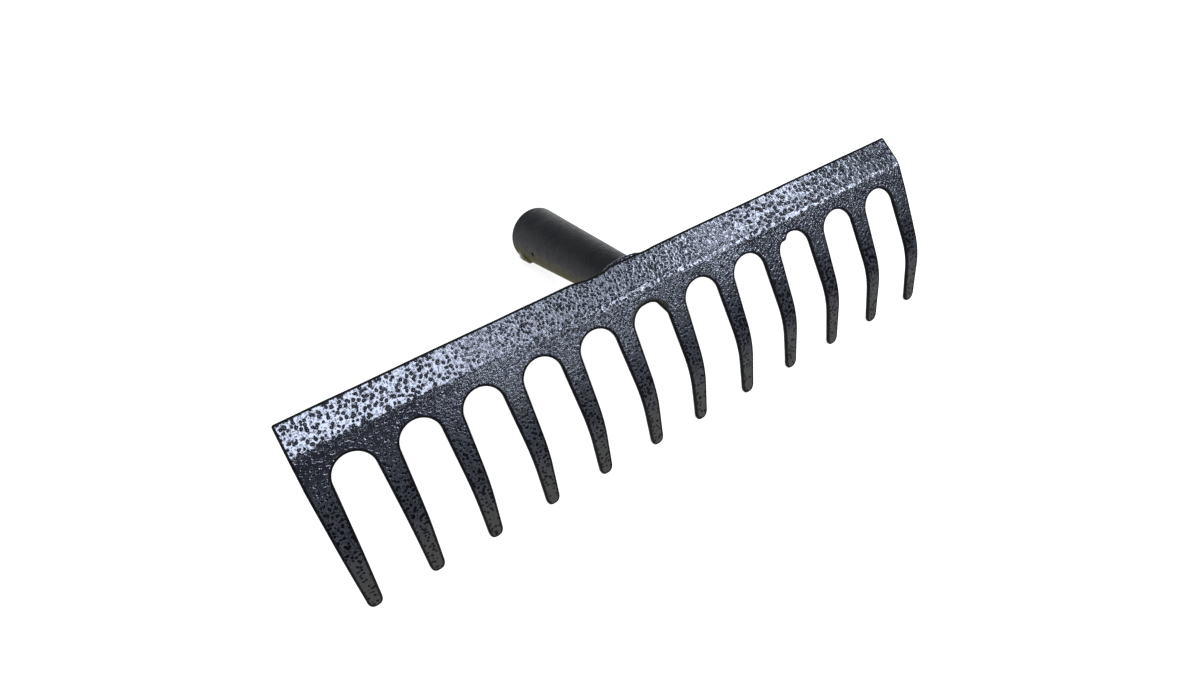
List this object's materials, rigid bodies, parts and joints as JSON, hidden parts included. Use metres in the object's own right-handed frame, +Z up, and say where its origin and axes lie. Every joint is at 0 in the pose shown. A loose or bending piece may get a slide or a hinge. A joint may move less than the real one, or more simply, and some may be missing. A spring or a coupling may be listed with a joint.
{
  "type": "rake head",
  "caption": "Steel rake head: a comb of hooked tines stamped and bent from one sheet, welded on to a tapered tube socket that takes a wooden handle.",
  "frame": {"origin": "centre of the bottom of the bounding box; the plane z = 0 touches the tips of the tines and the low edge of the socket's mouth, as the head lies on a table", "axes": "+X along the comb, +Y towards the mouth of the socket, +Z up"},
  "size_m": [0.3302, 0.145, 0.0718],
  "materials": {
    "hammertone_paint": "hammertone enamel, dark blue-grey with a lighter silver network, semi-gloss",
    "socket_paint": "the same enamel, thin and nearly smooth, dark grey with an olive cast, semi-gloss"
  },
  "bodies": {
    "root": {"rake_head": "hammertone_paint", "handle_socket": "socket_paint", "weld_top": "hammertone_paint", "weld_bottom": "hammertone_paint"}
  },
  "joints": []
}
